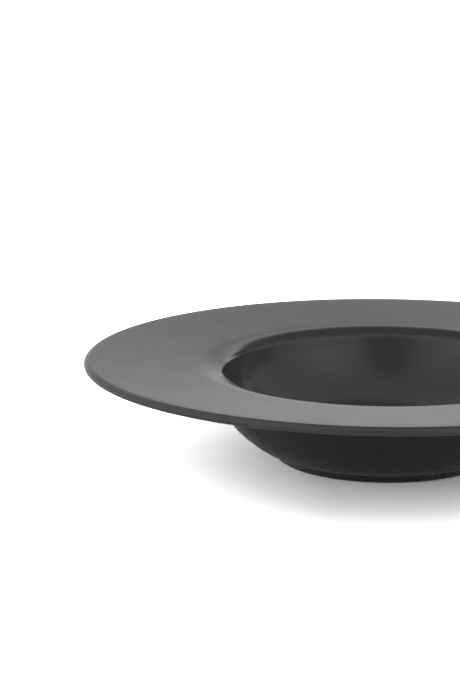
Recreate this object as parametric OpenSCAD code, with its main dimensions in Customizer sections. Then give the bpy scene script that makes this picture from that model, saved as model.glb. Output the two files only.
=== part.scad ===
// Pasta plate: a wide, nearly flat rim round a deep round well, standing on a low foot ring.
// One fired clay body carries the glaze. The glaze stops short of the face that the plate stands on.
// The origin is on the table, at the plate's axis, with +Z up. Lengths are in millimetres, angles in degrees.

/* [Plate] */
// Diameter over the glazed rim
plate_d = 290; // [250:1:330]
// Height from the table to the top of the glazed rim
plate_h = 49.7; // [44:0.1:60]

/* [Rim] */
// Rise of the rim's top towards its edge, in degrees
rim_slope = 3.7; // [0:0.1:8]
// Extra slope of the underside, which thickens the rim towards the well, in degrees
rim_taper = 0.3; // [0:0.1:3]
// Thickness of the clay at the rim's edge
rim_t = 3; // [2.6:0.1:6]
// Radius that turns the rim's top down to its edge
edge_top_r = 3.2; // [2:0.1:5]
// Slope at which that radius gives way to the nose, in degrees
edge_top_end = 40; // [20:1:50]
// Radius of the edge's nose
edge_nose_r = 1.4; // [0.6:0.1:1.6]

/* [Well] */
// Diameter of the well where its wall meets the lip
mouth_d = 156.5; // [130:0.1:190]
// Slope of the well's wall at its steepest, just under the lip, in degrees
wall_slope = 77.5; // [65:0.5:85]
// Radius of the soft roll from the rim into the lip
lip_roll_r = 50; // [15:1:80]
// Slope at which the roll gives way to the lip's nose, in degrees
lip_roll_end = 19; // [10:1:26]
// Radius of the lip's nose
lip_nose_r = 2.4; // [1.5:0.1:8]
// Thickness of the clay at the top of the wall, measured level
wall_top_t = 6.9; // [4:0.1:10]
// Thickness of the clay at the foot of the wall, if its outside ran on below the floor
wall_base_t = 5.5; // [3.5:0.1:8]
// Radius of the outside of the wall
bowl_r = 53; // [46:0.5:64]
// Thickness of the clay in the floor
floor_t = 3.4; // [2.5:0.1:6]
// Radius between the outside of the wall and the rim's underside
neck_r = 9; // [4:0.5:16]

/* [Foot] */
// Height at which the foot's flank leaves the outside of the wall
foot_h = 4.2; // [3.2:0.1:6]
// Slope of the foot's outer flank, in degrees
foot_slope = 46; // [34:1:75]
// Radius in the crease between the wall and that flank
crease_r = 3; // [1:0.5:8]
// Width of the foot on the table
foot_w = 6; // [4:0.5:10]
// Radius of the foot's two corners
foot_edge_r = 0.8; // [0.3:0.1:1.2]
// Height of the recess inside the foot
recess_h = 1.8; // [1.4:0.1:4]
// Slope of the foot's inner flank, in degrees
recess_slope = 55; // [40:1:70]
// Radius at the top of the inner flank
recess_r = 1.5; // [0.8:0.1:2.2]

/* [Glaze] */
// Thickness of the glaze
glaze_t = 0.4; // [0.2:0.05:0.6]
// Height above the table at which the outer glaze stops on the foot
bare_h = 0.9; // [0.7:0.1:1.5]

/* [Hidden] */

glaze_colour = "#3e403f";
clay_colour = "#5d5751";

// Largest turn between two points of a rounded stretch, and the sides of a full turn
arc_step = 5;
turn_sides = 180;

// Clay at the rim's edge: the top turns down over two radii, and a third one fills the thickness that is left
rim_r = plate_d / 2 - glaze_t;
under_slope = rim_slope + rim_taper;
edge_top_w = edge_top_r * (sin(edge_top_end) + sin(rim_slope)) + edge_nose_r * (1 - sin(edge_top_end));
edge_top_drop = edge_top_r * (cos(rim_slope) - cos(edge_top_end)) + edge_nose_r * cos(edge_top_end);
edge_under_r = (rim_t - edge_top_drop) / cos(under_slope);
rim_top = plate_h - glaze_t - (edge_top_r + glaze_t) * (1 - cos(rim_slope));
nose_z = rim_top - edge_top_drop;

// Lip: from the rim's top, over the roll and the nose, to the steepest part of the wall
lip_w = lip_roll_r * (sin(lip_roll_end) - sin(rim_slope)) + lip_nose_r * (sin(wall_slope) - sin(lip_roll_end));
lip_drop = lip_roll_r * (cos(rim_slope) - cos(lip_roll_end)) + lip_nose_r * (cos(lip_roll_end) - cos(wall_slope));
rim_w = rim_r - edge_top_w - lip_w - mouth_d / 2;

// Well: one radius sweeps from the flat floor up to the lip
floor_z = recess_h + floor_t;
mouth_z = rim_top - rim_w * tan(rim_slope) - lip_drop;
well_r = (mouth_z - floor_z) / (1 - cos(wall_slope));
floor_r = mouth_d / 2 - well_r * sin(wall_slope);

// Outside of the wall: its radius passes the well at a distance below the floor and at another beside the mouth
bowl_z = floor_z - wall_base_t + bowl_r;
bowl_w = sqrt(bowl_r * bowl_r - (bowl_z - mouth_z) * (bowl_z - mouth_z));
bowl_centre = [mouth_d / 2 + wall_top_t - bowl_w, bowl_z];

// Neck: its radius touches the round outside of the wall and the straight underside of the rim
under_start = [rim_r - edge_under_r * (1 - sin(under_slope)), nose_z - edge_under_r * cos(under_slope)];
neck_turn = acos((neck_r - (bowl_centre - under_start) * -left(under_slope)) / (bowl_r + neck_r));
neck_centre = bowl_centre - (bowl_r + neck_r) * left(under_slope + neck_turn);
under_w = (under_start - neck_centre) * ahead(under_slope);

// Foot: its flank drops from the outside of the wall to the table, with a small radius in the crease
crease_slope = acos((bowl_z - foot_h) / bowl_r);
foot_r = bowl_centre[0] + bowl_r * sin(crease_slope) - foot_h / tan(foot_slope);
crease_turn = acos((crease_r + bowl_r * cos(foot_slope - crease_slope)) / (bowl_r + crease_r));
crease_centre = bowl_centre - (bowl_r + crease_r) * left(foot_slope - crease_turn);
flank_w = (crease_centre - [foot_r, 0]) * ahead(foot_slope);
bare_w = bare_h / sin(foot_slope);

// Recess: the foot's inner flank rises to the flat base
outer_corner_w = foot_edge_r * tan(foot_slope / 2);
inner_corner_w = foot_edge_r * tan(recess_slope / 2);
recess_corner_w = recess_r * tan(recess_slope / 2);
recess_w = recess_h / sin(recess_slope);
base_corner_r = foot_r - foot_w - recess_h / tan(recess_slope);

// The outline of the clay, in stretches that run with the clay on their right:
// [length] goes straight on, and [radius, turn] follows an arc, to the left where the turn is positive.
face_start = [0, floor_z];
face_heading = 0;
face_steps = [
    [floor_r],
    [well_r, wall_slope],
    [lip_nose_r, lip_roll_end - wall_slope],
    [lip_roll_r, rim_slope - lip_roll_end],
    [rim_w / cos(rim_slope)],
    [edge_top_r, -rim_slope - edge_top_end],
    [edge_nose_r, edge_top_end - 90],
];

back_start = [rim_r, nose_z];
back_heading = -90;
back_steps = [
    [edge_under_r, under_slope - 90],
    [under_w],
    [neck_r, neck_turn],
    [bowl_r, foot_slope - crease_turn - under_slope - neck_turn],
    [crease_r, crease_turn],
    [flank_w - bare_w],
];

foot_start = [foot_r, 0] + bare_w * ahead(foot_slope);
foot_heading = foot_slope - 180;
foot_steps = [
    [bare_w - outer_corner_w],
    [foot_edge_r, -foot_slope],
    [foot_w - outer_corner_w - inner_corner_w],
    [foot_edge_r, -recess_slope],
    [recess_w - inner_corner_w - recess_corner_w],
];

base_start = [base_corner_r, recess_h] - recess_corner_w * ahead(180 - recess_slope);
base_heading = 180 - recess_slope;
base_steps = [
    [recess_r, recess_slope],
    [base_corner_r - recess_corner_w],
];

// Unit vectors along a heading and to its left
function ahead(heading) = [cos(heading), sin(heading)];
function left(heading) = [-sin(heading), cos(heading)];

// The order of a list turned round
function reversed(list) = [for (i = [len(list) - 1 : -1 : 0]) list[i]];

// Points of a stretch that lies a coat's thickness outside the clay
function stretch(start, heading, steps, coat = 0) =
    let (first = start + coat * left(heading))
    concat([first], walk(first, heading, steps, coat, 0));

function walk(from, heading, steps, coat, i) =
    i == len(steps) ? [] :
    let (step = steps[i], turn = len(step) == 1 ? 0 : step[1])
    let (points = turn == 0 ? [from + step[0] * ahead(heading)] : arc(from, heading, step[0], turn, coat))
    concat(points, walk(points[len(points) - 1], heading + turn, steps, coat, i + 1));

function arc(from, heading, radius, turn, coat) =
    let (side = sign(turn), r = radius - side * coat, centre = from + side * r * left(heading))
    let (count = ceil(abs(turn) / arc_step))
    [for (k = [1 : count]) centre - side * r * left(heading + turn * k / count)];

// Outline of the glaze that covers one stretch of the clay
function coating(start, heading, steps) = concat(
    stretch(start, heading, steps, glaze_t),
    reversed(stretch(start, heading, steps))
);

module turned(outline) {
    rotate_extrude($fn = turn_sides)
        polygon(outline);
}

module clay_body() {
    color(clay_colour)
        turned(concat(
            stretch(face_start, face_heading, face_steps),
            walk(back_start, back_heading, back_steps, 0, 0),
            walk(foot_start, foot_heading, foot_steps, 0, 0),
            walk(base_start, base_heading, base_steps, 0, 0)
        ));
}

module face_glaze() {
    color(glaze_colour)
        turned(coating(face_start, face_heading, face_steps));
}

module back_glaze() {
    color(glaze_colour)
        turned(coating(back_start, back_heading, back_steps));
}

module base_glaze() {
    color(glaze_colour)
        turned(coating(base_start, base_heading, base_steps));
}

clay_body();
face_glaze();
back_glaze();
base_glaze();
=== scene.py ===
"""Looks of a pasta plate: a wide rim round a deep well, in a satin charcoal glaze on a bare clay foot.

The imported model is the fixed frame. The clay and its three coats of glaze are turned here again as fine
meshes, from the same sizes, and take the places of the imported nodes. Lengths are in metres, apart from
the camera's lens and sensor, and angles in degrees.
"""

import logging
import math
from dataclasses import dataclass, field
from enum import Enum
from typing import ClassVar

import bpy
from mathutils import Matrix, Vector


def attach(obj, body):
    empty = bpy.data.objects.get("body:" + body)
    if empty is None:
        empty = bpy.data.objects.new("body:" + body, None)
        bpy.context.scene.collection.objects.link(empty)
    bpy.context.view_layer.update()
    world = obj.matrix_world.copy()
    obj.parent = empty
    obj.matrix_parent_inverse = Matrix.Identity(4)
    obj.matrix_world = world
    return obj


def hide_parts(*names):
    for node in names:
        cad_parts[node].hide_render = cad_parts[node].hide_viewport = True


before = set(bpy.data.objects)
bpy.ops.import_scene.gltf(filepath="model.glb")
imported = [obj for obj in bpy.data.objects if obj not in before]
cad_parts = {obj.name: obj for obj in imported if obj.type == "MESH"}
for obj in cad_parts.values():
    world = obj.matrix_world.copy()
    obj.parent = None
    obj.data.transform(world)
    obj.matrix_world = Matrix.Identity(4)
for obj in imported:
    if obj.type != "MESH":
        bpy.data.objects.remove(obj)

log = logging.getLogger("pasta_plate")

MM = 0.001
QUARTER_TURN = 90.0
HALF_TURN = 180.0

Point = tuple[float, float]
Colour = tuple[float, float, float]
Socket = bpy.types.NodeSocket


class Slot(Enum):
    """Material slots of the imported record."""

    CLAY = "fired_clay"
    GLAZE = "charcoal_glaze"


class Node(Enum):
    """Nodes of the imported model."""

    CLAY_BODY = "clay_body"
    FACE_GLAZE = "face_glaze"
    BACK_GLAZE = "back_glaze"
    BASE_GLAZE = "base_glaze"


class Border(Enum):
    """How a coat of glaze ends on the clay."""

    SEAM = "meets the next coat edge to edge"
    BEAD = "ends in a rounded bead on the bare clay"
    AXIS = "runs to the plate's axis"


def ahead(heading: float) -> Point:
    """Unit vector along a heading, as radius and height."""
    return math.cos(math.radians(heading)), math.sin(math.radians(heading))


def left(heading: float) -> Point:
    """Unit vector to the left of a heading, as radius and height."""
    return -math.sin(math.radians(heading)), math.cos(math.radians(heading))


def moved(place: Point, direction: Point, distance: float) -> Point:
    """Place that lies a distance away in a direction."""
    return place[0] + direction[0] * distance, place[1] + direction[1] * distance


def dot(a: Point, b: Point) -> float:
    """Scalar product of two vectors."""
    return a[0] * b[0] + a[1] * b[1]


def between(a: Point, b: Point) -> Point:
    """Vector from one place to another."""
    return b[0] - a[0], b[1] - a[1]


def smooth_step(value: float) -> float:
    """Eases a value from 0 to 1, held at both ends."""
    held = min(1.0, max(0.0, value))
    return held * held * (3.0 - 2.0 * held)


def heading_to(azimuth: float, elevation: float) -> Vector:
    """Unit vector in a direction of the room, from +X towards +Y and above the table."""
    around, rise = math.radians(azimuth), math.radians(elevation)
    return Vector((math.cos(rise) * math.cos(around), math.cos(rise) * math.sin(around), math.sin(rise)))


def grey(level: float) -> Colour:
    """Neutral colour, where 1 is white."""
    return level, level, level


def rgba(colour: Colour) -> tuple[float, float, float, float]:
    """Opaque colour, as a node's socket takes it."""
    return (*colour, 1.0)


def in_scene(name: str, data: bpy.types.ID) -> bpy.types.Object:
    """Puts a mesh, a light or a camera in the scene.

    Args:
        name: Name of the new object.
        data: Mesh, light or camera that it holds.

    Returns:
        The new object.
    """
    made = bpy.data.objects.new(name, data)
    bpy.context.scene.collection.objects.link(made)
    return made


@dataclass(frozen=True)
class Stretch:
    """Part of the clay's outline: straight where it doesn't turn, and otherwise an arc.

    Attributes:
        size: Length of a straight stretch, or radius of an arc.
        turn: Angle of an arc, to the left where it is positive.
    """

    size: float
    turn: float = 0.0

    @property
    def length(self) -> float:
        """Length of the outline along this stretch."""
        return self.size * math.radians(abs(self.turn)) if self.turn else self.size


@dataclass(frozen=True)
class Station:
    """Point of the clay's outline.

    Attributes:
        place: Radius and height of the point on the clay.
        heading: Direction of the outline there, with the clay on its right.
        along: Length of the outline up to the point.
        thinness_and_highlight: Share, from 0 to 1, by which glaze draws back from the outward bend there,
            and by which a highlight is painted there.
    """

    place: Point
    heading: float
    along: float
    thinness_and_highlight: float = 0.0

    def raised(self, coat: float) -> Point:
        """Place that lies a coat's thickness outside the clay."""
        return moved(self.place, left(self.heading), coat)


@dataclass(frozen=True)
class Outline:
    """Run of stretches on the clay's surface, with the clay on its right.

    Attributes:
        start: Radius and height of its first point.
        heading: Direction in which it sets out.
        stretches: Its stretches in order.
        chord: Largest distance between an arc and the straight pieces that stand for it.
        turn_step: Largest turn between two points of an arc.
        length_step: Largest distance between two points.
        thin_and_highlight_reach: Reach along the outline over which a bend thins the glaze and paints a
            highlight.
    """

    start: Point
    heading: float
    stretches: tuple[Stretch, ...]
    chord: float = 0.004 * MM
    turn_step: float = 5.0
    length_step: float = 6.0 * MM
    thin_and_highlight_reach: float = 1.3 * MM

    def parts(self, stretch: Stretch) -> int:
        """Counts the straight pieces that stand for a stretch.

        Args:
            stretch: Stretch of this outline.

        Returns:
            Their number, at least 1.
        """
        by_length = stretch.length / self.length_step
        if not stretch.turn:
            return max(1, math.ceil(by_length))
        by_chord = math.degrees(2.0 * math.acos(1.0 - self.chord / stretch.size))
        return math.ceil(max(by_length, abs(stretch.turn) / min(by_chord, self.turn_step)))

    def stations(self) -> list[Station]:
        """Walks the whole outline.

        Returns:
            Its points in order, from its start to its end.
        """
        place, heading, along = self.start, self.heading, 0.0
        found = [Station(place, heading, along, self.thinness_and_highlight(along))]
        for stretch in self.stretches:
            parts = self.parts(stretch)
            turn = stretch.turn / parts
            step = stretch.length / parts
            reach = 2.0 * stretch.size * math.sin(math.radians(abs(turn)) / 2.0) if turn else step
            for _ in range(parts):
                place = moved(place, ahead(heading + turn / 2.0), reach)
                heading += turn
                along += step
                found.append(Station(place, heading, along, self.thinness_and_highlight(along)))
        return found

    def thinness_and_highlight(self, along: float) -> float:
        """Share of a right angle that the outline bends outwards close to a point.

        Args:
            along: Length of the outline up to the point.

        Returns:
            The share, from 0 to 1.
        """
        reach = self.thin_and_highlight_reach
        bend = 0.0
        begin = 0.0
        for stretch in self.stretches:
            end = begin + stretch.length
            if stretch.turn < 0.0:
                near = math.erf((end - along) / reach) - math.erf((begin - along) / reach)
                bend += abs(stretch.turn) / stretch.length * reach * math.sqrt(math.pi) / 2.0 * near
            begin = end
        return min(1.0, bend / QUARTER_TURN)


@dataclass
class PlateSizes:
    """Sizes of the plate, and the outlines of its clay that follow from them.

    The sizes have the names that they have in the part's source. Only the bead is the scene's own: bead_w
    is the width over which a coat of glaze rounds down to the bare clay, and bead_parts the number of
    straight pieces across it.
    """

    plate_d: float = 290.0 * MM
    plate_h: float = 49.7 * MM

    rim_slope: float = 3.7
    rim_taper: float = 0.3
    rim_t: float = 3.0 * MM
    edge_top_r: float = 3.2 * MM
    edge_top_end: float = 40.0
    edge_nose_r: float = 1.4 * MM

    mouth_d: float = 156.5 * MM
    wall_slope: float = 77.5
    lip_roll_r: float = 50.0 * MM
    lip_roll_end: float = 19.0
    lip_nose_r: float = 2.4 * MM
    wall_top_t: float = 6.9 * MM
    wall_base_t: float = 5.5 * MM
    bowl_r: float = 53.0 * MM
    floor_t: float = 3.4 * MM
    neck_r: float = 9.0 * MM

    foot_h: float = 4.2 * MM
    foot_slope: float = 46.0
    crease_r: float = 3.0 * MM
    foot_w: float = 6.0 * MM
    foot_edge_r: float = 0.8 * MM
    recess_h: float = 1.8 * MM
    recess_slope: float = 55.0
    recess_r: float = 1.5 * MM

    glaze_t: float = 0.4 * MM
    bare_h: float = 0.9 * MM
    bead_w: float = 0.5 * MM
    bead_parts: int = 6

    rim_r: float = field(init=False)
    nose_z: float = field(init=False)
    edge_under_r: float = field(init=False)
    bowl_centre: Point = field(init=False)
    foot_r: float = field(init=False)
    bare_w: float = field(init=False)
    face: Outline = field(init=False)
    back: Outline = field(init=False)
    foot: Outline = field(init=False)
    base: Outline = field(init=False)

    def __post_init__(self) -> None:
        """Works out the four outlines, each of which goes on where the one before it ends."""
        self._shape_face()
        self._shape_back()
        self._shape_foot()

    def _shape_face(self) -> None:
        """Outline of the top: the well's floor and wall, the lip, the rim and the edge's upper half."""
        slope = math.radians(self.rim_slope)
        under = math.radians(self.rim_slope + self.rim_taper)
        roll = math.radians(self.lip_roll_end)
        wall = math.radians(self.wall_slope)
        edge = math.radians(self.edge_top_end)

        edge_w = self.edge_top_r * (math.sin(edge) + math.sin(slope))
        edge_w += self.edge_nose_r * (1.0 - math.sin(edge))
        edge_drop = self.edge_top_r * (math.cos(slope) - math.cos(edge))
        edge_drop += self.edge_nose_r * math.cos(edge)
        lip_w = self.lip_roll_r * (math.sin(roll) - math.sin(slope))
        lip_w += self.lip_nose_r * (math.sin(wall) - math.sin(roll))
        lip_drop = self.lip_roll_r * (math.cos(slope) - math.cos(roll))
        lip_drop += self.lip_nose_r * (math.cos(roll) - math.cos(wall))

        self.rim_r = self.plate_d / 2.0 - self.glaze_t
        crest_rise = (self.edge_top_r + self.glaze_t) * (1.0 - math.cos(slope))
        rim_top = self.plate_h - self.glaze_t - crest_rise
        rim_w = self.rim_r - edge_w - lip_w - self.mouth_d / 2.0
        self.nose_z = rim_top - edge_drop
        self.edge_under_r = (self.rim_t - edge_drop) / math.cos(under)

        floor_z = self.recess_h + self.floor_t
        mouth_z = rim_top - rim_w * math.tan(slope) - lip_drop
        well_r = (mouth_z - floor_z) / (1.0 - math.cos(wall))
        floor_r = self.mouth_d / 2.0 - well_r * math.sin(wall)
        bowl_z = floor_z - self.wall_base_t + self.bowl_r
        bowl_w = math.sqrt(self.bowl_r**2 - (bowl_z - mouth_z) ** 2)
        self.bowl_centre = (self.mouth_d / 2.0 + self.wall_top_t - bowl_w, bowl_z)
        self.face = Outline(
            start=(0.0, floor_z),
            heading=0.0,
            stretches=(
                Stretch(floor_r),
                Stretch(well_r, self.wall_slope),
                Stretch(self.lip_nose_r, self.lip_roll_end - self.wall_slope),
                Stretch(self.lip_roll_r, self.rim_slope - self.lip_roll_end),
                Stretch(rim_w / math.cos(slope)),
                Stretch(self.edge_top_r, -self.rim_slope - self.edge_top_end),
                Stretch(self.edge_nose_r, self.edge_top_end - QUARTER_TURN),
            ),
        )

    def _shape_back(self) -> None:
        """Outline of the back: the edge's lower half, the rim, the neck, the bowl and the foot's flank."""
        under = self.rim_slope + self.rim_taper
        edge_end = (
            self.rim_r - self.edge_under_r * (1.0 - math.sin(math.radians(under))),
            self.nose_z - self.edge_under_r * math.cos(math.radians(under)),
        )
        height = dot(between(self.bowl_centre, edge_end), left(under))
        neck_turn = math.degrees(math.acos((self.neck_r - height) / (self.bowl_r + self.neck_r)))
        neck_centre = moved(self.bowl_centre, left(under + neck_turn), -self.bowl_r - self.neck_r)

        crease = math.acos((self.bowl_centre[1] - self.foot_h) / self.bowl_r)
        flank_run = self.foot_h / math.tan(math.radians(self.foot_slope))
        self.foot_r = self.bowl_centre[0] + self.bowl_r * math.sin(crease) - flank_run
        from_crease = math.radians(self.foot_slope) - crease
        share = (self.crease_r + self.bowl_r * math.cos(from_crease)) / (self.bowl_r + self.crease_r)
        crease_turn = math.degrees(math.acos(share))
        bowl_end = self.foot_slope - crease_turn
        crease_centre = moved(self.bowl_centre, left(bowl_end), -self.bowl_r - self.crease_r)
        flank_w = dot(between((self.foot_r, 0.0), crease_centre), ahead(self.foot_slope))
        self.bare_w = self.bare_h / math.sin(math.radians(self.foot_slope))
        self.back = Outline(
            start=(self.rim_r, self.nose_z),
            heading=-QUARTER_TURN,
            stretches=(
                Stretch(self.edge_under_r, under - QUARTER_TURN),
                Stretch(dot(between(neck_centre, edge_end), ahead(under))),
                Stretch(self.neck_r, neck_turn),
                Stretch(self.bowl_r, bowl_end - under - neck_turn),
                Stretch(self.crease_r, crease_turn),
                Stretch(flank_w - self.bare_w - self.bead_w),
                *(Stretch(self.bead_w / self.bead_parts),) * self.bead_parts,
            ),
        )

    def _shape_foot(self) -> None:
        """Outlines of the bare foot and of the base inside it."""
        recess = math.radians(self.recess_slope)
        outer_w = self.foot_edge_r * math.tan(math.radians(self.foot_slope) / 2.0)
        inner_w = self.foot_edge_r * math.tan(recess / 2.0)
        recess_corner_w = self.recess_r * math.tan(recess / 2.0)
        recess_w = self.recess_h / math.sin(recess)
        base_corner_r = self.foot_r - self.foot_w - self.recess_h / math.tan(recess)
        base_heading = HALF_TURN - self.recess_slope
        self.foot = Outline(
            start=moved((self.foot_r, 0.0), ahead(self.foot_slope), self.bare_w),
            heading=self.foot_slope - HALF_TURN,
            stretches=(
                Stretch(self.bare_w - outer_w),
                Stretch(self.foot_edge_r, -self.foot_slope),
                Stretch(self.foot_w - outer_w - inner_w),
                Stretch(self.foot_edge_r, -self.recess_slope),
                Stretch(recess_w - inner_w - recess_corner_w),
            ),
        )
        self.base = Outline(
            start=moved((base_corner_r, self.recess_h), ahead(base_heading), -recess_corner_w),
            heading=base_heading,
            stretches=(
                Stretch(self.recess_r, self.recess_slope),
                Stretch(base_corner_r - recess_corner_w),
            ),
        )


class NodePen:
    """Places and links nodes in one node tree."""

    # Sockets of a Mix node that mixes colours
    SHARE: ClassVar[int] = 0
    FIRST_COLOUR: ClassVar[int] = 6
    SECOND_COLOUR: ClassVar[int] = 7
    MIXED_COLOUR: ClassVar[int] = 2

    def __init__(self, tree: bpy.types.NodeTree) -> None:
        """Takes the tree to work in.

        Args:
            tree: Node tree of a material, a world or a group.
        """
        self.tree = tree

    def add(self, kind: str, **settings: object) -> bpy.types.Node:
        """Adds a node.

        Args:
            kind: Type of the node, as Blender names it.
            **settings: Properties of the node by name.

        Returns:
            The new node.
        """
        node = self.tree.nodes.new(kind)
        for name, value in settings.items():
            setattr(node, name, value)
        return node

    def feed(self, node: bpy.types.Node, **inputs: object) -> bpy.types.Node:
        """Sets a node's inputs, or links them.

        Args:
            node: Node whose inputs are fed.
            **inputs: Constants or output sockets, by input name with spaces as underscores, or by
                index as _0.

        Returns:
            The same node.
        """
        for name, value in inputs.items():
            key = int(name[1:]) if name[1:].isdigit() else name.replace("_", " ")
            socket = node.inputs[key]
            if isinstance(value, Socket):
                self.tree.links.new(value, socket)
            else:
                socket.default_value = value
        return node

    def put(self, kind: str, **inputs: object) -> bpy.types.Node:
        """Adds a node and feeds its inputs."""
        return self.feed(self.add(kind), **inputs)

    def math(self, operation: str, a: object, b: object = 0.0) -> Socket:
        """Adds a Math node.

        Args:
            operation: Blender's name of the operation.
            a: First number or socket.
            b: Second number or socket.

        Returns:
            The socket that holds the result.
        """
        return self.feed(self.add("ShaderNodeMath", operation=operation), _0=a, _1=b).outputs[0]

    def spread(self, value: Socket, low: float, high: float) -> Socket:
        """Maps a value from 0 to 1 onto a span.

        Args:
            value: Socket that runs from 0 to 1.
            low: Result at 0.
            high: Result at 1.

        Returns:
            The socket that holds the result.
        """
        return self.put("ShaderNodeMapRange", Value=value, To_Min=low, To_Max=high).outputs[0]

    def mix(self, share: Socket, a: object, b: object) -> Socket:
        """Mixes two colours.

        Args:
            share: Socket with the share of the second colour.
            a: First colour, or a socket.
            b: Second colour, or a socket.

        Returns:
            The socket that holds the mixed colour.
        """
        node = self.add("ShaderNodeMix", data_type="RGBA")
        fed = {self.SHARE: share, self.FIRST_COLOUR: a, self.SECOND_COLOUR: b}
        for index, value in fed.items():
            if isinstance(value, Socket):
                self.tree.links.new(value, node.inputs[index])
            else:
                node.inputs[index].default_value = rgba(value)
        return node.outputs[self.MIXED_COLOUR]

    def mix_shaders(self, share: Socket, a: Socket, b: Socket) -> Socket:
        """Mixes two shaders.

        Args:
            share: Socket with the share of the second shader.
            a: First shader.
            b: Second shader.

        Returns:
            The socket that holds the mixed shader.
        """
        return self.put("ShaderNodeMixShader", _0=share, _1=a, _2=b).outputs[0]


def blank_material(name: str) -> tuple[bpy.types.Material, NodePen]:
    """Makes a material without nodes.

    Args:
        name: Name of the material.

    Returns:
        The material, and a pen for its node tree.
    """
    made = bpy.data.materials.new(name)
    made.use_nodes = True
    made.node_tree.nodes.clear()
    return made, NodePen(made.node_tree)


@dataclass
class Effects:
    """Shader node groups that more than one finish uses.

    Attributes:
        cloud_detail: Octaves of the clouds.
        cloud_roughness: Weight of each finer octave of the clouds.
        grain_detail: Octaves of the grain.
        grain_roughness: Weight of each finer octave of the grain.
        least_fleck: Radius of the smallest fleck, as a share of its cell.
        clouds: Group with clouds of tone and a fine grain.
        flecks: Group with round mineral flecks.
    """

    cloud_detail: float = 3.0
    cloud_roughness: float = 0.55
    grain_detail: float = 2.0
    grain_roughness: float = 0.5
    least_fleck: float = 0.01
    clouds: bpy.types.NodeTree = field(init=False)
    flecks: bpy.types.NodeTree = field(init=False)

    def __post_init__(self) -> None:
        """Builds the groups once."""
        self.clouds = self._clouds()
        self.flecks = self._flecks()

    @staticmethod
    def _group(name: str, values: tuple[str, ...], outputs: tuple[str, ...]) -> bpy.types.NodeTree:
        """Makes an empty group with its sockets.

        Args:
            name: Name of the group.
            values: Names of the input values, which come after the position.
            outputs: Names of the output values.

        Returns:
            The group's node tree.
        """
        tree = bpy.data.node_groups.new(name, "ShaderNodeTree")
        tree.interface.new_socket(name="Position", in_out="INPUT", socket_type="NodeSocketVector")
        for socket in values:
            tree.interface.new_socket(name=socket, in_out="INPUT", socket_type="NodeSocketFloat")
        for socket in outputs:
            tree.interface.new_socket(name=socket, in_out="OUTPUT", socket_type="NodeSocketFloat")
        return tree

    def _clouds(self) -> bpy.types.NodeTree:
        """Makes the group with soft clouds of tone and a fine grain, each of a size of its own.

        Returns:
            The group's node tree.
        """
        values = ("Clouds per metre", "Grains per metre")
        tree = self._group("clouds_and_grain", values, ("Cloud", "Grain"))
        pen = NodePen(tree)
        given = pen.add("NodeGroupInput").outputs
        cloud = pen.put(
            "ShaderNodeTexNoise",
            Vector=given["Position"],
            Scale=given["Clouds per metre"],
            Detail=self.cloud_detail,
            Roughness=self.cloud_roughness,
        )
        grain = pen.put(
            "ShaderNodeTexNoise",
            Vector=given["Position"],
            Scale=given["Grains per metre"],
            Detail=self.grain_detail,
            Roughness=self.grain_roughness,
        )
        pen.put("NodeGroupOutput", Cloud=cloud.outputs[0], Grain=grain.outputs[0])
        return tree

    def _flecks(self) -> bpy.types.NodeTree:
        """Makes the group with round mineral flecks, of which only a share of the cells holds one.

        Returns:
            The group's node tree.
        """
        tree = self._group("mineral_flecks", ("Cells per metre", "Share", "Radius"), ("Fleck",))
        pen = NodePen(tree)
        given = pen.add("NodeGroupInput").outputs
        cells = pen.put("ShaderNodeTexVoronoi", Vector=given["Position"], Scale=given["Cells per metre"])
        chance = pen.put("ShaderNodeSeparateColor", Color=cells.outputs["Color"]).outputs
        held = pen.math("LESS_THAN", chance["Red"], given["Share"])
        radius = pen.math("MULTIPLY", given["Radius"], chance["Green"])
        radius = pen.math("ADD", radius, self.least_fleck)
        inside = pen.math("SUBTRACT", 1.0, pen.math("DIVIDE", cells.outputs["Distance"], radius))
        soft = pen.put("ShaderNodeClamp", Value=inside).outputs[0]
        pen.put("NodeGroupOutput", Fleck=pen.math("MULTIPLY", held, soft))
        return tree


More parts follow.
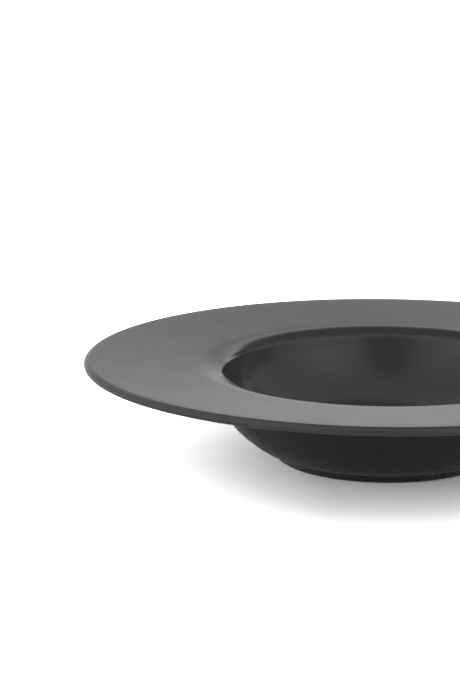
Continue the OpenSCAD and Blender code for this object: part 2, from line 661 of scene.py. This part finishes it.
@dataclass(frozen=True)
class CharcoalGlaze:
    """Satin charcoal glaze, which is paler where it draws thin over an edge; that paler colour is partly a
    painted highlight.

    Attributes:
        deep: Colour where the glaze lies thick.
        pale: Colour where it clouds.
        thin_and_highlight: Colour of the thinnest glaze over an edge, which also stands in for a painted
            highlight there.
        fleck: Colour of the mineral flecks.
        thin_and_highlight_share: Most that the thin colour, with its painted highlight, covers.
        fleck_share: Most that a fleck covers.
        roughness: Roughness of the matt body of the glaze.
        least_sheen: Share of the surface that shines where the glaze is dullest.
        most_sheen: Share of it that shines where the glaze is smoothest.
        sheen_ior: Index of refraction of the shine.
        sheen_roughness: Roughness of the shine.
        clouds_per_m: Clouds of tone in a metre.
        grains_per_m: Grains of the satin surface in a metre.
        grain_h: Height of those grains.
        fleck_cells_per_m: Cells in a metre, some of which hold a fleck.
        fleck_chance: Share of the cells that hold one.
        fleck_r: Radius of the largest fleck, as a share of its cell.
    """

    deep: Colour = (0.041, 0.042, 0.040)
    pale: Colour = (0.045, 0.046, 0.044)
    thin_and_highlight: Colour = (0.075, 0.074, 0.069)
    fleck: Colour = (0.085, 0.085, 0.080)
    thin_and_highlight_share: float = 0.3
    fleck_share: float = 0.35
    roughness: float = 0.6
    least_sheen: float = 0.575
    most_sheen: float = 0.67
    sheen_ior: float = 1.4
    sheen_roughness: float = 0.13
    clouds_per_m: float = 55.0
    grains_per_m: float = 1400.0
    grain_h: float = 0.005 * MM
    fleck_cells_per_m: float = 420.0
    fleck_chance: float = 0.3
    fleck_r: float = 0.22

    def material(self, effects: Effects) -> bpy.types.Material:
        """Makes the material.

        Args:
            effects: Shared node groups.

        Returns:
            The material.
        """
        made, pen = blank_material("satin_charcoal_glaze")
        place = pen.add("ShaderNodeTexCoord").outputs["Object"]
        clouds = pen.add("ShaderNodeGroup", node_tree=effects.clouds)
        pen.feed(clouds, Position=place)
        pen.feed(clouds, Clouds_per_metre=self.clouds_per_m, Grains_per_metre=self.grains_per_m)
        flecks = pen.add("ShaderNodeGroup", node_tree=effects.flecks)
        pen.feed(flecks, Position=place, Cells_per_metre=self.fleck_cells_per_m)
        pen.feed(flecks, Share=self.fleck_chance, Radius=self.fleck_r)
        thinness_and_highlight = pen.add("ShaderNodeAttribute", attribute_name=TurnedPiece.THINNESS_AND_HIGHLIGHT).outputs["Fac"]

        tone = clouds.outputs["Cloud"]
        flecked = pen.math("MULTIPLY", flecks.outputs["Fleck"], self.fleck_share)
        # Paler glaze on outward bends: partly the glaze drawn thin, partly a painted highlight.
        thin_and_highlight_cover = pen.math("MULTIPLY", thinness_and_highlight, self.thin_and_highlight_share)
        colour = pen.mix(tone, self.deep, self.pale)
        colour = pen.mix(flecked, colour, self.fleck)
        colour = pen.mix(thin_and_highlight_cover, colour, self.thin_and_highlight)
        grain = pen.add("ShaderNodeBump")
        pen.feed(grain, Strength=1.0, Distance=self.grain_h, Height=clouds.outputs["Grain"])
        shader = pen.put(
            "ShaderNodeBsdfPrincipled",
            Base_Color=colour,
            Roughness=self.roughness,
            Specular_IOR_Level=0.0,
            Normal=grain.outputs[0],
            Coat_Weight=pen.spread(tone, self.least_sheen, self.most_sheen),
            Coat_IOR=self.sheen_ior,
            Coat_Roughness=self.sheen_roughness,
        )
        pen.put("ShaderNodeOutputMaterial", Surface=shader.outputs[0])
        return made


@dataclass(frozen=True)
class BareClay:
    """Fired clay without glaze, with sand in it, ground flat on the foot.

    Attributes:
        dark: Colour of its darker clouds.
        light: Colour of its lighter clouds.
        sand: Colour of the sand.
        roughness: Roughness of the ground face.
        clouds_per_m: Clouds of tone in a metre.
        grains_per_m: Grains of the clay in a metre.
        grain_h: Height of those grains.
        sand_cells_per_m: Cells in a metre, some of which hold a grain of sand.
        sand_chance: Share of the cells that hold one.
        sand_r: Radius of the largest grain of sand, as a share of its cell.
    """

    dark: Colour = (0.170, 0.148, 0.130)
    light: Colour = (0.230, 0.202, 0.180)
    sand: Colour = (0.420, 0.380, 0.330)
    roughness: float = 0.85
    clouds_per_m: float = 140.0
    grains_per_m: float = 2600.0
    grain_h: float = 0.06 * MM
    sand_cells_per_m: float = 900.0
    sand_chance: float = 0.35
    sand_r: float = 0.4

    def material(self, effects: Effects) -> bpy.types.Material:
        """Makes the material.

        Args:
            effects: Shared node groups.

        Returns:
            The material.
        """
        made, pen = blank_material("bare_fired_clay")
        place = pen.add("ShaderNodeTexCoord").outputs["Object"]
        clouds = pen.add("ShaderNodeGroup", node_tree=effects.clouds)
        pen.feed(clouds, Position=place)
        pen.feed(clouds, Clouds_per_metre=self.clouds_per_m, Grains_per_metre=self.grains_per_m)
        flecks = pen.add("ShaderNodeGroup", node_tree=effects.flecks)
        pen.feed(flecks, Position=place, Cells_per_metre=self.sand_cells_per_m)
        pen.feed(flecks, Share=self.sand_chance, Radius=self.sand_r)

        colour = pen.mix(clouds.outputs["Cloud"], self.dark, self.light)
        colour = pen.mix(flecks.outputs["Fleck"], colour, self.sand)
        grain = pen.add("ShaderNodeBump")
        pen.feed(grain, Strength=1.0, Distance=self.grain_h, Height=clouds.outputs["Grain"])
        shader = pen.put(
            "ShaderNodeBsdfPrincipled",
            Base_Color=colour,
            Roughness=self.roughness,
            Normal=grain.outputs[0],
        )
        pen.put("ShaderNodeOutputMaterial", Surface=shader.outputs[0])
        return made


@dataclass
class TurnedPiece:
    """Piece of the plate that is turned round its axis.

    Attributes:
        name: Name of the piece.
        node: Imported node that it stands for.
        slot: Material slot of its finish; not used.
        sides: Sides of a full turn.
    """

    name: str
    node: Node
    slot: Slot
    sides: int = 288

    # Mesh attribute with the glaze's thinness on bends, which also carries a painted highlight.
    THINNESS_AND_HIGHLIGHT: ClassVar[str] = "thinness_and_highlight"

    def turn(self, section: list[Point], thinness_and_highlight: list[float], corners: set[int]) -> bpy.types.Object:
        """Turns a section into a closed mesh.

        Args:
            section: Radius and height of its points in order, with the solid on the right.
            thinness_and_highlight: Thinness of the glaze at each point, which also sets its painted
                highlight.
            corners: Indices of the points that stay sharp.

        Returns:
            The new object, in the scene.
        """
        verts: list[tuple[float, float, float]] = []
        values: list[float] = []
        rings: list[list[int]] = []
        for (radius, height), thin_and_highlight in zip(section, thinness_and_highlight):
            count = self.sides if radius > 0.0 else 1
            rings.append([len(verts) + (k if count > 1 else 0) for k in range(self.sides)])
            for k in range(count):
                angle = math.tau * k / self.sides
                verts.append((radius * math.cos(angle), radius * math.sin(angle), height))
                values.append(thin_and_highlight)

        faces: list[list[int]] = []
        for first, second in zip(rings, rings[1:] + rings[:1]):
            for k in range(self.sides):
                n = (k + 1) % self.sides
                loop = list(dict.fromkeys((first[k], second[k], second[n], first[n])))
                if len(loop) > 2:
                    faces.append(loop)

        mesh = bpy.data.meshes.new(self.name)
        mesh.from_pydata(verts, [], faces)
        mesh.shade_smooth()
        sharp = {v for c in corners for v in rings[c]}
        home = {v: i for i, ring in enumerate(rings) for v in ring}
        for edge in mesh.edges:
            a, b = edge.vertices
            edge.use_edge_sharp = a in sharp and home[a] == home[b]
        mesh.attributes.new(self.THINNESS_AND_HIGHLIGHT, "FLOAT", "POINT").data.foreach_set("value", values)
        mesh.update()
        return in_scene(self.name, mesh)

    def dress(self, made: bpy.types.Object, finish: bpy.types.Material) -> bpy.types.Object:
        """Gives the piece its finish and puts it in the place of its node.

        Args:
            made: Object of the piece.
            finish: Material of the piece.

        Returns:
            The same object.
        """
        made.data.materials.append(finish)
        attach(made, "root")
        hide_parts(self.node.value)
        log.info("%s: %d faces, for %s", made.name, len(made.data.polygons), self.node.value)
        return made


@dataclass
class ClayBody(TurnedPiece):
    """The fired clay, of which only the foot stays bare."""

    name: str = "turned_clay"
    node: Node = Node.CLAY_BODY
    slot: Slot = Slot.CLAY

    def build(self, sizes: PlateSizes) -> bpy.types.Object:
        """Turns the whole outline of the clay.

        Args:
            sizes: Sizes and outlines of the plate.

        Returns:
            The new object.
        """
        section: list[Point] = []
        for outline in (sizes.face, sizes.back, sizes.foot, sizes.base):
            points = [station.place for station in outline.stations()]
            section.extend(points[1:] if section else points)
        section[-1] = (0.0, section[-1][1])
        return self.turn(section, [0.0] * len(section), set())


@dataclass
class GlazeCoat(TurnedPiece):
    """Coat of glaze over one outline of the clay.

    Attributes:
        begins: How the coat ends at the start of its outline.
        ends: How it ends at the other end.
        least: Share of its thickness that is left at the end of a bead.
    """

    slot: Slot = Slot.GLAZE
    begins: Border = Border.SEAM
    ends: Border = Border.SEAM
    least: float = 0.2

    def fullness(self, from_start: float, from_end: float, bead_w: float) -> float:
        """Share of the coat's thickness at a point, which is less only in a bead.

        Args:
            from_start: Length of the outline before the point.
            from_end: Length of the outline after it.
            bead_w: Width of a bead.

        Returns:
            The share, up to 1.
        """
        gap = bead_w
        if self.begins is Border.BEAD:
            gap = min(gap, from_start)
        if self.ends is Border.BEAD:
            gap = min(gap, from_end)
        return max(self.least, math.sqrt(1.0 - (1.0 - gap / bead_w) ** 2))

    def build(self, outline: Outline, sizes: PlateSizes) -> bpy.types.Object:
        """Turns the coat's section, which follows the outline outside and comes back along the clay.

        Args:
            outline: Outline of the clay under the coat.
            sizes: Sizes of the plate.

        Returns:
            The new object.
        """
        stations = outline.stations()
        length = stations[-1].along
        outer: list[Point] = []
        for station in stations:
            share = self.fullness(station.along, length - station.along, sizes.bead_w)
            outer.append(station.raised(sizes.glaze_t * share))
        inner = [station.place for station in reversed(stations)]
        if self.begins is Border.AXIS:
            outer[0], inner[-1] = (0.0, outer[0][1]), (0.0, inner[-1][1])
        if self.ends is Border.AXIS:
            outer[-1], inner[0] = (0.0, outer[-1][1]), (0.0, inner[0][1])
        thinness_and_highlight = [station.thinness_and_highlight for station in stations] + [0.0] * len(inner)
        last = len(stations) - 1
        corners = {0, last, last + 1, 2 * last + 1}
        return self.turn(outer + inner, thinness_and_highlight, corners)


@dataclass(frozen=True)
class Softbox:
    """Rectangular studio light that faces the plate.

    Attributes:
        name: Name of the light.
        azimuth: Direction that it stands in, from +X towards +Y.
        elevation: Height above the table as an angle.
        distance: Distance from the plate.
        width: Width of its face.
        height: Height of its face.
        radiance: Brightness of its face, where 1 is white.
    """

    name: str
    azimuth: float
    elevation: float
    distance: float
    width: float
    height: float
    radiance: float

    def build(self, aim: Vector) -> bpy.types.Object:
        """Sets the light up.

        Args:
            aim: Point that it faces.

        Returns:
            The new light.
        """
        lamp = bpy.data.lights.new(self.name, "AREA")
        lamp.shape = "RECTANGLE"
        lamp.size, lamp.size_y = self.width, self.height
        lamp.energy = self.radiance * math.pi * self.width * self.height
        made = in_scene(self.name, lamp)
        made.location = aim + self.distance * heading_to(self.azimuth, self.elevation)
        made.rotation_mode = "QUATERNION"
        made.rotation_quaternion = (made.location - aim).to_track_quat("Z", "Y")
        made.visible_camera = False
        return made


@dataclass(frozen=True)
class Patch:
    """Part of the room round the plate, as angles seen from the plate.

    Attributes:
        azimuth: Direction of its middle, from +X towards +Y.
        reach: Angle from its middle to either side.
        low: Elevation of its lower edge under its middle.
        high: Elevation of its upper edge.
        slant: Rise of its lower edge for each degree sideways.
    """

    azimuth: float
    reach: float
    low: float
    high: float
    slant: float = 0.0


@dataclass(frozen=True)
class Fade:
    """Angles over which a screen thins out towards its edges.

    Attributes:
        side: Angle towards either side.
        low: Angle towards the lower edge.
        high: Angle towards the upper edge.
    """

    side: float
    low: float
    high: float


@dataclass(frozen=True)
class Screen:
    """Curved screen round the plate with soft edges, which the camera doesn't see.

    Attributes:
        name: Name of the screen.
        patch: Part of the room that it covers.
        fade: How it thins out towards its edges.
        level: Brightness of a light, or grey of a card, where 1 is white.
        density: Share of its full effect at its densest.
        distance: Distance from the plate.
        columns: Faces from side to side.
        rows: Faces from edge to edge.
    """

    name: str
    patch: Patch
    fade: Fade
    level: float
    density: float = 1.0
    distance: float = 1.5
    columns: int = 32
    rows: int = 32

    COVER: ClassVar[str] = "cover"

    def cover(self, turn: float, rise: float) -> float:
        """Share of the screen's full effect in a direction.

        Args:
            turn: Angle from its middle, sideways.
            rise: Angle above its lower edge.

        Returns:
            The share, from 0 at its edges.
        """
        span = self.patch.high - self.patch.low - self.patch.slant * turn
        side = smooth_step((self.patch.reach - abs(turn)) / self.fade.side)
        low = smooth_step(rise / self.fade.low)
        high = smooth_step((span - rise) / self.fade.high)
        return self.density * side * low * high

    def build(self, aim: Vector) -> bpy.types.Object:
        """Sets the screen up.

        Args:
            aim: Point that it faces.

        Returns:
            The new object.
        """
        verts: list[Vector] = []
        covers: list[float] = []
        for row in range(self.rows + 1):
            for column in range(self.columns + 1):
                turn = self.patch.reach * (2.0 * column / self.columns - 1.0)
                start = self.patch.low + self.patch.slant * turn
                rise = (self.patch.high - start) * row / self.rows
                way = heading_to(self.patch.azimuth + turn, start + rise)
                verts.append(aim + self.distance * way)
                covers.append(self.cover(turn, rise))
        faces: list[tuple[int, int, int, int]] = []
        for row in range(self.rows):
            for column in range(self.columns):
                first = row * (self.columns + 1) + column
                above = first + self.columns + 1
                faces.append((first, first + 1, above + 1, above))
        mesh = bpy.data.meshes.new(self.name)
        mesh.from_pydata(verts, [], faces)
        mesh.attributes.new(self.COVER, "FLOAT", "POINT").data.foreach_set("value", covers)
        mesh.materials.append(self.material())
        made = in_scene(self.name, mesh)
        made.visible_camera = False
        return made

    def material(self) -> bpy.types.Material:
        """Makes the screen's material, which is clear where its cover is 0.

        Returns:
            The material.
        """
        made, pen = blank_material(self.name)
        cover = pen.add("ShaderNodeAttribute", attribute_name=self.COVER).outputs["Fac"]
        clear = pen.add("ShaderNodeBsdfTransparent").outputs[0]
        pen.put("ShaderNodeOutputMaterial", Surface=self.surface(pen, cover, clear))
        return made

    def surface(self, pen: NodePen, cover: Socket, clear: Socket) -> Socket:
        """Shader of the screen, made by each kind of screen."""
        raise NotImplementedError


@dataclass(frozen=True)
class DarkCard(Screen):
    """Screen that keeps light off the plate and shows dark in its reflections."""

    def surface(self, pen: NodePen, cover: Socket, clear: Socket) -> Socket:
        """Matt cloth, which thins out towards the edges."""
        matt = pen.put("ShaderNodeBsdfDiffuse", Color=rgba(grey(self.level)))
        return pen.mix_shaders(cover, clear, matt.outputs[0])


@dataclass(frozen=True)
class LightPanel(Screen):
    """Screen that adds its light to what is behind it."""

    def surface(self, pen: NodePen, cover: Socket, clear: Socket) -> Socket:
        """Clear sheet that glows, less towards the edges."""
        glow = pen.put("ShaderNodeEmission", Strength=pen.math("MULTIPLY", cover, self.level))
        return pen.put("ShaderNodeAddShader", _0=clear, _1=glow.outputs[0]).outputs[0]


@dataclass
class Studio:
    """White table and backdrop, soft lights and the camera.

    Attributes:
        table_r: Radius of the table top.
        table_sides: Sides of its outline.
        table_colour: Colour of the table top in the light that it throws back.
        table_mirrored: Colour that reflections see.
        table_shown: Colour that the camera sees, bright enough to be white round the shadow.
        table_shown_painted_light_left: The same on the left, brighter, which paints light into the shadow
            there.
        painted_light_begins: Place along X at which the painted light on the table begins.
        painted_light_ends: Place along X at which the painted light on the table is full.
        sky: Light of the room on the plate, where 1 is white.
        backdrop: White that the camera and reflections see behind the plate.
        softboxes: Lights round the plate.
        screens: Dark cards and light panels with soft edges.
        eye: Place of the camera.
        look_down: Angle of the camera below the horizon.
        look_left: Angle of the camera to the left of the plate's axis.
        lens: Focal length of the camera, in millimetres.
        sensor: Size of its sensor along the picture's height, in millimetres.
    """

    table_r: float = 12.0
    table_sides: int = 96
    table_colour: Colour = grey(0.60)
    table_mirrored: Colour = grey(1.4)
    table_shown: Colour = grey(2.75)
    # Painted light: a brighter table colour on the left makes the shadow there paler.
    table_shown_painted_light_left: Colour = grey(4.2)
    painted_light_begins: float = -25.0 * MM
    painted_light_ends: float = -85.0 * MM
    sky: float = 0.8
    backdrop: float = 1.0
    softboxes: tuple[Softbox, ...] = (
        Softbox(
            "softbox_back",
            azimuth=90.0,
            elevation=4.5,
            distance=2.2,
            width=3.4,
            height=0.34,
            radiance=0.13,
        ),
    )
    screens: tuple[Screen, ...] = (
        LightPanel(
            "panel_right",
            patch=Patch(azimuth=321.0, reach=50.0, low=-2.0, high=72.0),
            fade=Fade(side=50.0, low=30.0, high=40.0),
            level=1.06,
        ),
        LightPanel(
            "panel_left",
            patch=Patch(azimuth=220.0, reach=50.0, low=0.0, high=68.0),
            fade=Fade(side=50.0, low=12.0, high=40.0),
            level=0.60,
        ),
        LightPanel(
            "panel_low",
            patch=Patch(azimuth=190.0, reach=42.0, low=1.0, high=30.0),
            fade=Fade(side=24.0, low=5.0, high=14.0),
            level=0.95,
        ),
        LightPanel(
            "panel_back",
            patch=Patch(azimuth=72.0, reach=30.0, low=7.5, high=36.0, slant=0.6),
            fade=Fade(side=16.0, low=13.0, high=4.0),
            level=1.55,
        ),
        DarkCard(
            "card_back",
            patch=Patch(azimuth=80.0, reach=46.0, low=25.6, high=88.0, slant=0.22),
            fade=Fade(side=16.0, low=0.5, high=20.0),
            level=0.04,
            distance=1.4,
        ),
        LightPanel(
            "panel_high",
            patch=Patch(azimuth=70.0, reach=18.0, low=30.0, high=64.0),
            fade=Fade(side=12.0, low=3.0, high=14.0),
            level=0.20,
            distance=1.3,
        ),
        DarkCard(
            "veil_back",
            patch=Patch(azimuth=95.0, reach=57.0, low=9.0, high=31.0),
            fade=Fade(side=30.0, low=15.0, high=6.0),
            level=0.04,
            density=0.23,
        ),
        DarkCard(
            "card_front",
            patch=Patch(azimuth=266.0, reach=34.0, low=0.0, high=85.0),
            fade=Fade(side=30.0, low=0.1, high=40.0),
            level=0.42,
        ),
        DarkCard(
            "card_right",
            patch=Patch(azimuth=28.0, reach=34.0, low=0.0, high=22.0),
            fade=Fade(side=14.0, low=0.1, high=10.0),
            level=0.15,
            density=0.72,
        ),
    )
    eye: tuple[float, float, float] = (0.0, -1.25277, 0.32470)
    look_down: float = 12.1657
    look_left: float = 3.4176
    lens: float = 138.65
    sensor: float = 36.0

    def build(self, aim: Vector) -> None:
        """Sets up table, backdrop, lights and camera.

        Args:
            aim: Point that the lights face.
        """
        self._table()
        self._world()
        for item in (*self.softboxes, *self.screens):
            item.build(aim)
        self._camera()
        bpy.context.scene.view_settings.view_transform = "Standard"

    def _table(self) -> None:
        """Makes the round table top."""
        angles = [math.tau * k / self.table_sides for k in range(self.table_sides)]
        rim = [(self.table_r * math.cos(a), self.table_r * math.sin(a), 0.0) for a in angles]
        mesh = bpy.data.meshes.new("table")
        mesh.from_pydata(rim, [], [range(self.table_sides)])
        mesh.materials.append(self._table_finish())
        table = in_scene("table", mesh)

    def _table_finish(self) -> bpy.types.Material:
        """Makes the table's material, which can be looked through from below, and whose colour paints
        light into the shadow on the left.

        Returns:
            The material.
        """
        made, pen = blank_material("white_table")
        face = pen.add("ShaderNodeNewGeometry").outputs
        rays = pen.add("ShaderNodeLightPath").outputs
        own = pen.put("ShaderNodeBsdfDiffuse", Color=rgba(self.table_colour)).outputs[0]
        mirrored = pen.put("ShaderNodeBsdfDiffuse", Color=rgba(self.table_mirrored)).outputs[0]
        # Painted light: the table's colour to the camera grows brighter towards the left, so the shadow
        # there shows paler.
        across = pen.put("ShaderNodeSeparateXYZ", Vector=face["Position"]).outputs["X"]
        painted_light_share = pen.add("ShaderNodeMapRange")
        pen.feed(painted_light_share, Value=across, From_Min=self.painted_light_begins, From_Max=self.painted_light_ends)
        shade = pen.mix(painted_light_share.outputs[0], self.table_shown, self.table_shown_painted_light_left)
        shown = pen.put("ShaderNodeBsdfDiffuse", Color=shade).outputs[0]
        seen = pen.math("MAXIMUM", rays["Is Camera Ray"], rays["Is Transmission Ray"])
        top = pen.mix_shaders(rays["Is Glossy Ray"], own, mirrored)
        top = pen.mix_shaders(seen, top, shown)
        clear = pen.add("ShaderNodeBsdfTransparent").outputs[0]
        both = pen.mix_shaders(face["Backfacing"], top, clear)
        pen.put("ShaderNodeOutputMaterial", Surface=both)
        return made

    def _world(self) -> None:
        """Makes the room: white to the camera and to reflections, and a plain light to all else."""
        world = bpy.data.worlds.new("white_room")
        bpy.context.scene.world = world
        world.use_nodes = True
        world.node_tree.nodes.clear()
        pen = NodePen(world.node_tree)
        rays = pen.add("ShaderNodeLightPath").outputs
        shown = pen.math("MAXIMUM", rays["Is Camera Ray"], rays["Is Glossy Ray"])
        shown = pen.math("MAXIMUM", shown, rays["Is Transmission Ray"])
        white = rgba(grey(1.0))
        room = pen.put("ShaderNodeBackground", Color=white, Strength=self.sky).outputs[0]
        backdrop = pen.put("ShaderNodeBackground", Color=white, Strength=self.backdrop).outputs[0]
        pen.put("ShaderNodeOutputWorld", Surface=pen.mix_shaders(shown, room, backdrop))

    def _camera(self) -> None:
        """Sets the camera up where the photograph was taken from."""
        lens = bpy.data.cameras.new("camera")
        lens.lens = self.lens
        lens.sensor_fit = "AUTO"
        lens.sensor_width = self.sensor
        camera = in_scene("camera", lens)
        camera.location = self.eye
        pitch = math.radians(QUARTER_TURN - self.look_down)
        camera.rotation_euler = (pitch, 0.0, math.radians(self.look_left))
        bpy.context.scene.camera = camera


def main() -> None:
    """Builds the plate and its studio."""
    logging.basicConfig(level=logging.INFO, format="%(name)s: %(message)s")
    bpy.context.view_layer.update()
    sizes = PlateSizes()
    effects = Effects()
    glaze = CharcoalGlaze().material(effects)

    clay = ClayBody()
    clay.dress(clay.build(sizes), BareClay().material(effects))
    coats = (
        (GlazeCoat("face_coat", Node.FACE_GLAZE, begins=Border.AXIS), sizes.face),
        (GlazeCoat("back_coat", Node.BACK_GLAZE, ends=Border.BEAD), sizes.back),
        (GlazeCoat("base_coat", Node.BASE_GLAZE, begins=Border.BEAD, ends=Border.AXIS), sizes.base),
    )
    for coat, outline in coats:
        coat.dress(coat.build(outline, sizes), glaze)

    Studio().build(Vector((0.0, 0.0, sizes.plate_h / 2.0)))


if __name__ == "__main__":
    main()
